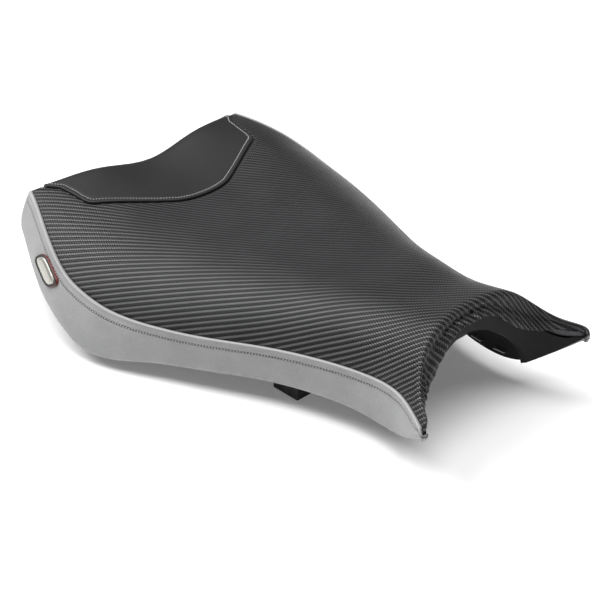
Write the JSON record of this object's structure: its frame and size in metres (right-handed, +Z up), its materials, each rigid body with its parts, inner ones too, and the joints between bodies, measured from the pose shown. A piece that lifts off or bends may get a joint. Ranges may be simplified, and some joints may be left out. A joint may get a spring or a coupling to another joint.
{
  "type": "motorcycle seat",
  "caption": "Rider's motorcycle seat: carbon-look top, plain rear panel, grey side panels, wings that fork round the tank, moulded base with rubber rests and steel fittings.",
  "frame": {"origin": "on the ground under the middle of the seat's box; the ground is the plane under the rubber rests", "axes": "+X forward, towards the fuel tank; +Y the rider's left; +Z up"},
  "size_m": [0.4069, 0.2984, 0.0942],
  "materials": {
    "base_plastic": "moulded black polypropylene, fine spark-eroded grain",
    "foam": "moulded dark grey polyurethane foam",
    "carbon_vinyl": "carbon-look twill-embossed vinyl, satin",
    "plain_vinyl": "plain charcoal grained vinyl, matt",
    "grey_vinyl": "light grey suede-touch vinyl, matt",
    "staple_steel": "galvanised staple wire",
    "badge_rim": "black rubber emblem base with a dark red edge",
    "badge_dome": "domed satin silver emblem face, plain",
    "black_steel": "black powder-coated steel",
    "rivet_steel": "zinc-plated steel",
    "block_rubber": "black moulded rubber"
  },
  "bodies": {
    "root": {"seat_base": "base_plastic", "foam_cushion": "foam", "centre_cover_panel": "carbon_vinyl", "rear_cover_panel": "plain_vinyl", "side_cover_panel_left": "grey_vinyl", "side_cover_panel_right": "grey_vinyl", "cover_staples": "staple_steel", "badge_base": "badge_rim", "badge_face": "badge_dome", "front_tongue": "black_steel", "tongue_rivets": "rivet_steel", "mounting_bracket_left": "black_steel", "mounting_bracket_right": "black_steel", "bracket_rivets": "rivet_steel", "bracket_grommet_left": "block_rubber", "bolt_collar_left": "rivet_steel", "frame_rest_block_left": "block_rubber", "rear_bumper_left": "block_rubber", "bracket_grommet_right": "block_rubber", "bolt_collar_right": "rivet_steel", "frame_rest_block_right": "block_rubber", "rear_bumper_right": "block_rubber"}
  },
  "joints": []
}
